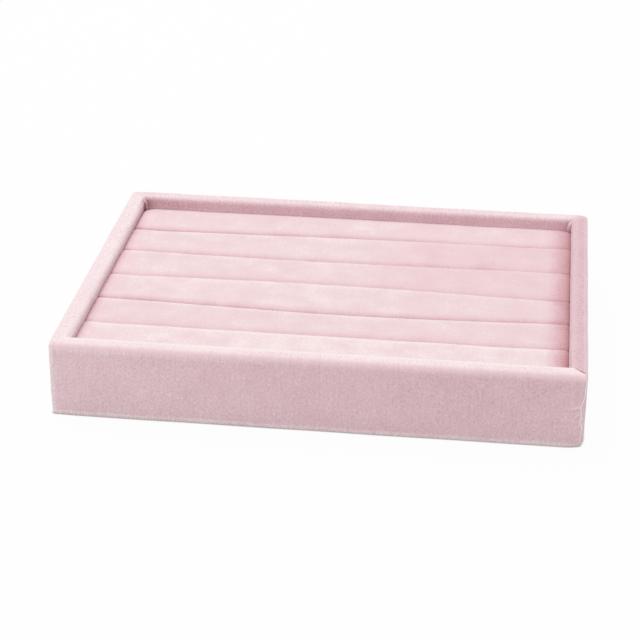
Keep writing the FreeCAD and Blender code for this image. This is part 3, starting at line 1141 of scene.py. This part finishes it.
def roll_pile_and_painted_light(rows, number):
    """Light on top with a painted highlight along the back edge; painted shade in front where the pile
    parts into the slit, towards the right end where it turns down by the wall, and at the left end.
    """
    index = number - 1
    loop = rows[len(rows) // 2]
    below = loop[:, 2].max() - loop[:, 2]
    from_front = loop[:, 1] - loop[:, 1].min()
    in_front = from_front < from_front.max() / 2
    # Painted shade on the front edge, partly the pile parting there
    parted_and_shaded = 1 - smooth_step(*FRONT_PARTING_AND_SHADE, from_front)
    parted_and_shaded = (parted_and_shaded + smooth_step(*FRONT_PARTING_AND_SHADE_DROP, below) * in_front) / 2
    # A painted highlight along the back edge
    back_highlight = smooth_step(*BACK_HIGHLIGHT_DROP, below) * ~in_front
    along = rows[:, :, 0]
    left_depth = LEFT_FRONT_DEPTHS[index]
    right_depth = RIGHT_FRONT_DEPTHS[index]
    front_depth = left_depth + (right_depth - left_depth) * smooth_step(*FRONT_CHANGE, along)
    tones = ROLL_TONES[index] - front_depth * parted_and_shaded + BACK_SHINES[index] * back_highlight
    tones -= LEFT_HALF_DEPTHS[index] * smooth_step(*LEFT_HALF, -along)
    tones -= RIGHT_HALF_DEPTHS[index] * smooth_step(*RIGHT_HALF, along)
    from_right = along.max() - along
    from_left = along - along.min()
    # Painted shade towards the right end, partly the pile turning down beside the wall
    tones += (RIGHT_END_TONE - tones) * np.clip(1 - from_right / RIGHT_END_REACHES[index], 0.0, 1.0)
    # Painted shade at the left end in the gap by the wall
    return tones - LEFT_END_DEPTH * np.clip(1 - from_left / LEFT_END_REACH, 0.0, 1.0)


def make_sleeve(number, lines, material):
    """A roll's velvet as one open skin, with a window under it where it is glued to the card."""
    rows, stations = roll_grid(number, lines, 0.0, 0.0, START_CROWN)
    station_count, loop_count = rows.shape[:2]
    window_rows = [*range(WINDOW_PLACES), *range(loop_count - WINDOW_PLACES, loop_count)]
    inside = [index for index, station in enumerate(stations) if abs(station[0]) < WINDOW_END]
    faces = roll_faces(station_count, loop_count, window_rows, inside[0], inside[-1])
    points = rows.reshape(-1, 3)
    points[:, 2] += soft_noise(points, ROLL_WAVES, number) * smooth_step(*ROLL_WAVE_HEIGHTS, points[:, 2])
    sleeve = add_piece(f"roll_sleeve_{number}", points, faces, material)
    sleeve.data.set_sharp_from_angle(angle=SHARP_ANGLE)
    set_cloth_uv(sleeve, roll_uv(faces, rows))
    full_rows, _ = roll_grid(number, lines, 0.0, 0.0, ROLL_CROWN)
    set_values(sleeve, "pile_and_painted_light", roll_pile_and_painted_light(full_rows, number))
    return sleeve


def read_points(mesh):
    """A mesh's points as an array."""
    values = np.empty(len(mesh.vertices) * 3)
    mesh.vertices.foreach_get("co", values)
    return values.reshape(-1, 3)


def add_swelling(sleeve):
    """Cloth settings that let the foam push a skin out, held low down where the rolls touch."""
    held = sleeve.vertex_groups.new(name="held")
    weights = 1 - smooth_step(HELD_BELOW, FREE_ABOVE, read_points(sleeve.data)[:, 2])
    for index in np.flatnonzero(weights):
        held.add([int(index)], float(weights[index]), "REPLACE")
    cloth = sleeve.modifiers.new("swelling", "CLOTH")
    cloth.settings.quality = SWELL_QUALITY
    cloth.settings.mass = SWELL_MASS
    cloth.settings.use_pressure = True
    cloth.settings.uniform_pressure_force = SWELL_PRESSURE
    cloth.settings.vertex_group_mass = "held"
    cloth.settings.effector_weights.gravity = 0.0
    cloth.collision_settings.use_collision = False
    cloth.point_cache.frame_end = SWELL_FRAMES


def swell_sleeves(sleeves):
    """A short cloth simulation, applied to the skins with each point's move capped."""
    scene = bpy.context.scene
    for sleeve in sleeves:
        add_swelling(sleeve)
    for step in range(1, SWELL_FRAMES + 1):
        scene.frame_set(step)
    graph = bpy.context.evaluated_depsgraph_get()
    caps = np.array(SWELL_CAPS)
    shapes = []
    for sleeve in sleeves:
        start = read_points(sleeve.data)
        moves = read_points(sleeve.evaluated_get(graph).data) - start
        shapes.append(start + caps * np.tanh(moves / caps))
    for sleeve, points in zip(sleeves, shapes):
        sleeve.modifiers.clear()
        sleeve.vertex_groups.clear()
        sleeve.data.vertices.foreach_set("co", points.ravel())
        sleeve.data.update()
    scene.frame_set(1)


def make_core(number, lines, material):
    """The foam in a sleeve, just inside its cloth."""
    rows, _ = roll_grid(number, lines, FOAM_INSET, FOAM_INSET - GLUE_GAP, CORE_CROWN)
    faces = roll_faces(*rows.shape[:2], (), 0, 0)
    core = add_piece(f"roll_core_{number}", rows.reshape(-1, 3), faces, material)
    core.data.set_sharp_from_angle(angle=SHARP_ANGLE)
    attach(core, "ring_insert")
    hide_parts(f"roll_foam_{number}")


def make_rolls(sleeve_material, foam_material):
    """Six velvet sleeves with their foam cores."""
    lines = slit_lines()
    sleeves = [make_sleeve(number, lines, sleeve_material) for number in range(1, ROLL_COUNT + 1)]
    swell_sleeves(sleeves)
    for number, sleeve in enumerate(sleeves, 1):
        shell = sleeve.modifiers.new("cloth thickness", "SOLIDIFY")
        shell.thickness = ROLL_CLOTH
        shell.offset = -1.0
        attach(sleeve, "ring_insert")
        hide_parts(f"roll_velvet_{number}")
        make_core(number, lines, foam_material)


def make_sheet(name, low, high, cells, rise, material):
    """A thin closed sheet in a box, whose middle rises by rise(x, y)."""
    columns, rows = cells
    thickness = high.z - low.z
    xs = [low.x + (high.x - low.x) * column / columns for column in range(columns + 1)]
    ys = [low.y + (high.y - low.y) * row / rows for row in range(rows + 1)]
    bottoms = [(x, y, low.z + rise(x, y)) for y in ys for x in xs]
    tops = [(x, y, level + thickness) for x, y, level in bottoms]
    points = tops + bottoms
    count = len(tops)
    faces = []
    for row in range(rows):
        for column in range(columns):
            a, b, c, d = quad(len(xs), row, row + 1, column, column + 1)
            faces.append((a, d, c, b))
            faces.append((count + a, count + b, count + c, count + d))
    grid = np.arange(count).reshape(len(ys), len(xs))
    border = np.concatenate((grid[0, :-1], grid[:-1, -1], grid[-1, :0:-1], grid[:0:-1, 0])).tolist()
    for a, b in zip(border, border[1:] + border[:1]):
        faces.append((a, count + a, count + b, b))
    sheet = add_piece(name, points, faces, material)
    sheet.data.set_sharp_from_angle(angle=SHARP_ANGLE)
    set_cloth_uv(sheet, [points[index][:2] for face in faces for index in face])
    set_values(sheet, "pile_and_painted_light", [SHEET_TONE] * len(points))
    return sheet


def make_floor_lining(material):
    """The velvet laid on the floor under the insert."""
    low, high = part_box("floor_lining")
    lining = make_sheet("lining_sheet", low, high, LINING_CELLS, lambda x, y: 0.0, material)
    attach(lining, "tray")
    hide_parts("floor_lining")


def make_underside_felt(material):
    """The felt under the base, which rises past the turned-in velvet."""
    low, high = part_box("underside_felt")
    thin_high = Vector((high.x, high.y, low.z + FELT))

    def rise(x, y):
        share = high.z - low.z - FELT
        for place, end in ((x, high.x - FELT_FLAT_EDGE), (y, high.y - FELT_FLAT_EDGE)):
            share *= 1 - smooth_step(end - FELT_SLOPE, end, abs(place))
        return share

    felt = make_sheet("felt_sheet", low, thin_high, FELT_CELLS, rise, material)
    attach(felt, "tray")
    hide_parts("underside_felt")


def finish_cad_nodes():
    """Procedural finishes for the rigid pieces that the CAD makes."""
    finishes = {
        fibre_board(): BOARDS,
        drawn_steel(): ["corner_brads", "base_brads"],
        grey_card(): ["insert_card"],
    }
    for material, names in finishes.items():
        for name in names:
            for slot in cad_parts[name].material_slots:
                slot.material = material


def add_floor():
    """A white floor that glows to the camera with its real shadow faint and a painted contact shadow at
    the tray's foot, and bounces light as white paper does.
    """
    corners = ((-1, -1), (1, -1), (1, 1), (-1, 1))
    points = [(FLOOR_HALF * x, FLOOR_HALF * y, 0.0) for x, y in corners]
    material, tree, shader = new_material("white_floor")
    set_inputs(tree, shader, {
        "Base Color": (0.86, 0.86, 0.86, 1.0),
        "Roughness": 0.9,
        "Specular IOR Level": 0.0,
    })
    path = add_node(tree, "ShaderNodeLightPath")
    seen = add_math(tree, "MULTIPLY", path.outputs["Is Camera Ray"], FLOOR_GLOW)
    # The glow darkens where the tray stands close: a painted contact shadow
    contact = add_node(tree, "ShaderNodeAmbientOcclusion", {"Distance": CONTACT_REACH}, samples=8)
    contact_shade_greys = ((0.3, (0.34, 0.30, 0.31, 1.0)), (1.0, (1.0, 1.0, 1.0, 1.0)))
    white = add_ramp(tree, contact.outputs["AO"], contact_shade_greys)
    glow = add_node(tree, "ShaderNodeEmission", {"Color": white, "Strength": 1.0})
    both = add_node(tree, "ShaderNodeMixShader", {0: seen, 1: shader.outputs[0], 2: glow.outputs[0]})
    set_inputs(tree, tree.nodes["Material Output"], {"Surface": both.outputs[0]})
    floor = add_piece("studio_floor", points, [(0, 1, 2, 3)], material)


def add_area_light(name, place, size, level):
    """A soft square light aimed at the tray; level is its share of full light on a surface facing it."""
    light = bpy.data.lights.new(name, "AREA")
    light.shape = "SQUARE"
    light.size = size
    place = Vector(place)
    light.energy = level * math.pi ** 2 * place.length_squared
    lamp = bpy.data.objects.new(name, light)
    lamp.location = place
    lamp.rotation_euler = (-place).to_track_quat("-Z", "Y").to_euler()
    bpy.context.collection.objects.link(lamp)


def add_lights():
    """A large soft key from above and behind, a weak fill from the front, and white all round."""
    add_area_light("key", *KEY_LIGHT)
    add_area_light("fill", *FILL_LIGHT)
    world = bpy.data.worlds.new("studio")
    bpy.context.scene.world = world
    world.use_nodes = True
    tree = world.node_tree
    path = add_node(tree, "ShaderNodeLightPath")
    seen = add_math(tree, "MAXIMUM", path.outputs["Is Camera Ray"], path.outputs["Is Glossy Ray"])
    seen = add_math(tree, "MAXIMUM", seen, path.outputs["Is Transmission Ray"])
    ambient_inputs = {"Color": (1.0, 0.99, 0.985, 1.0), "Strength": AMBIENT_LEVEL}
    ambient = add_node(tree, "ShaderNodeBackground", ambient_inputs)
    white = add_node(tree, "ShaderNodeBackground", {"Color": (1.0, 1.0, 1.0, 1.0), "Strength": 1.0})
    both = add_node(tree, "ShaderNodeMixShader", {0: seen, 1: ambient.outputs[0], 2: white.outputs[0]})
    set_inputs(tree, tree.nodes["World Output"], {"Surface": both.outputs[0]})


def add_camera():
    """The camera at the photo's angle."""
    forward = Vector((
        math.sin(CAMERA_YAW) * math.cos(CAMERA_PITCH),
        math.cos(CAMERA_YAW) * math.cos(CAMERA_PITCH),
        -math.sin(CAMERA_PITCH),
    ))
    level = Vector((math.cos(CAMERA_YAW), -math.sin(CAMERA_YAW), 0.0))
    upright = level.cross(forward)
    right = level * math.cos(CAMERA_ROLL) + upright * math.sin(CAMERA_ROLL)
    up = upright * math.cos(CAMERA_ROLL) - level * math.sin(CAMERA_ROLL)
    lens = bpy.data.cameras.new("photo_camera")
    lens.lens = CAMERA_LENS
    lens.sensor_width = CAMERA_SENSOR
    camera = bpy.data.objects.new("photo_camera", lens)
    turn = Matrix((right, up, -forward)).transposed().to_4x4()
    camera.matrix_world = Matrix.Translation(CAMERA_PLACE) @ turn
    bpy.context.collection.objects.link(camera)
    bpy.context.scene.camera = camera


# The velvets' colours along the pile tone, the low end serving painted shade and the top painted
# highlights
WALL_PINKS = (
    (0.0, colour(176, 128, 136)),
    (0.5, colour(226, 190, 198)),
    (0.8, colour(242, 215, 220)),
    (1.0, colour(254, 239, 240)),
)
ROLL_PINKS = (
    (0.0, colour(199, 142, 149)),
    (0.6, colour(238, 206, 212)),
    (0.82, colour(243, 219, 222)),
    (1.0, colour(254, 238, 238)),
)

bpy.context.scene.view_settings.view_transform = "Standard"
make_wrap(velvet("wall_velvet", WALL_PINKS, dash_amount=0.45, mottle_amount=0.20))
make_rolls(velvet("roll_velvet", ROLL_PINKS, dash_amount=0.26, mottle_amount=0.45), open_foam())
make_floor_lining(velvet("lining_velvet", WALL_PINKS, dash_amount=0.38, mottle_amount=0.20))
make_underside_felt(felt_cloth())
finish_cad_nodes()
add_floor()
add_lights()
add_camera()
